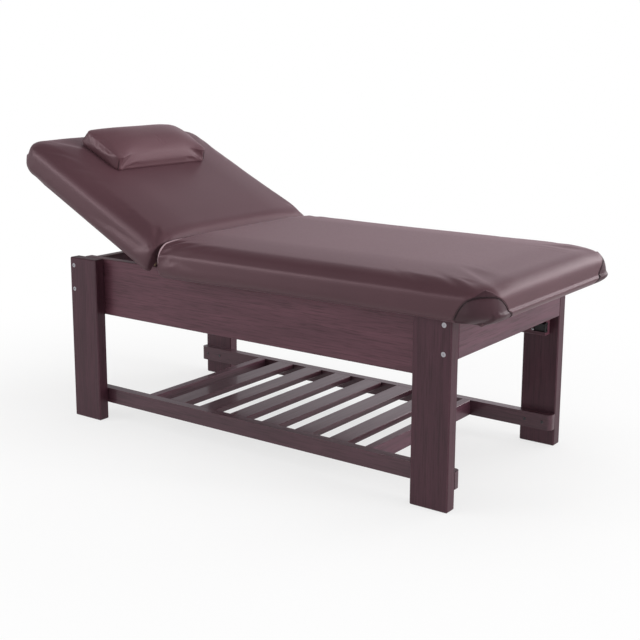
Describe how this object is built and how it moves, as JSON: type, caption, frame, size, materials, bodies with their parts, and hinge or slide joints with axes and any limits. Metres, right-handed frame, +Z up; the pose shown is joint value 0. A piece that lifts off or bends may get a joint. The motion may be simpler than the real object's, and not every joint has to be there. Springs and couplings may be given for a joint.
{
  "type": "spa bed",
  "caption": "Low massage bed: padded top with a rising backrest and loose pillow, on an open dark wooden frame with a slatted lower shelf.",
  "frame": {"origin": "on the floor, under the middle of the whole bed's length and width with the backrest as pictured", "axes": "+X to the foot, +Y to the left side of a person lying on the back, +Z up"},
  "size_m": [1.8028, 0.82, 0.9655],
  "materials": {
    "dark_wood": "satin dark walnut stain and lacquer",
    "frame_timber": "matte dark stain",
    "board": "matte plywood",
    "cushion_cover": "satin dark brown synthetic leather",
    "pillow_cover": "satin dark brown synthetic leather",
    "hinge_tape": "matte woven tape with a covered welt",
    "zinc_steel": "zinc plated",
    "stay_steel": "satin black",
    "knob_plastic": "matte black"
  },
  "bodies": {
    "frame": {"leg_head_right": "dark_wood", "leg_head_left": "dark_wood", "leg_foot_right": "dark_wood", "leg_foot_left": "dark_wood", "end_rail_head": "dark_wood", "end_rail_foot": "dark_wood", "side_apron_right": "dark_wood", "side_apron_left": "dark_wood", "shelf_rail_right": "dark_wood", "shelf_rail_left": "dark_wood", "shelf_end_board_head": "dark_wood", "shelf_end_board_foot": "dark_wood", "shelf_slat_1": "dark_wood", "shelf_slat_2": "dark_wood", "shelf_slat_3": "dark_wood", "shelf_slat_4": "dark_wood", "shelf_slat_5": "dark_wood", "shelf_slat_6": "dark_wood", "frame_bar_1": "frame_timber", "frame_bar_2": "frame_timber", "frame_bar_3": "frame_timber", "leg_bolts": "zinc_steel", "body_board": "board", "body_cushion": "cushion_cover", "hinge_tape_fixed": "hinge_tape", "stay_studs": "zinc_steel"},
    "backrest": {"backrest_board": "board", "backrest_cushion": "cushion_cover", "hinge_tape_moving": "hinge_tape", "backrest_brace_hinge": "frame_timber", "backrest_brace_head": "frame_timber", "backrest_batten_right": "frame_timber", "backrest_batten_left": "frame_timber", "stay_pivots": "zinc_steel"},
    "stay_bar_right": {"stay_right": "stay_steel"},
    "stay_bar_left": {"stay_left": "stay_steel"},
    "knob_right": {"stay_knob_right": "knob_plastic"},
    "knob_left": {"stay_knob_left": "knob_plastic"},
    "head_pillow": {"pillow": "pillow_cover"}
  },
  "joints": [
    {"name": "backrest_hinge", "type": "hinge", "parent": "frame", "child": "backrest", "pos_m": [-0.2546, 0, 0.644], "axis": [0, 1, 0], "range_deg": [-27.3, 17.7]},
    {"name": "stay_right_swing", "type": "hinge", "parent": "backrest", "child": "stay_bar_right", "pos_m": [-0.53303, -0.2745, 0.61441], "axis": [0, 1, 0], "range_deg": [-8.85, 13.65]},
    {"name": "stay_left_swing", "type": "hinge", "parent": "backrest", "child": "stay_bar_left", "pos_m": [-0.53303, 0.2745, 0.61441], "axis": [0, 1, 0], "range_deg": [-8.85, 13.65]},
    {"name": "knob_right_turn", "type": "hinge", "parent": "frame", "child": "knob_right", "pos_m": [-0.09784, -0.262, 0.412], "axis": [0, 1, 0], "range_deg": [0, 360]},
    {"name": "knob_left_turn", "type": "hinge", "parent": "frame", "child": "knob_left", "pos_m": [-0.09784, 0.262, 0.412], "axis": [0, 1, 0], "range_deg": [0, 360]},
    {"name": "pillow_lift", "type": "slide", "parent": "backrest", "child": "head_pillow", "axis": [0.4587, 0, 0.8886], "range_m": [0, 0.15]}
  ],
  "couplings": [
    {"joint": "stay_right_swing", "follows": "backrest_hinge", "ratio": -0.5},
    {"joint": "stay_left_swing", "follows": "backrest_hinge", "ratio": -0.5}
  ]
}
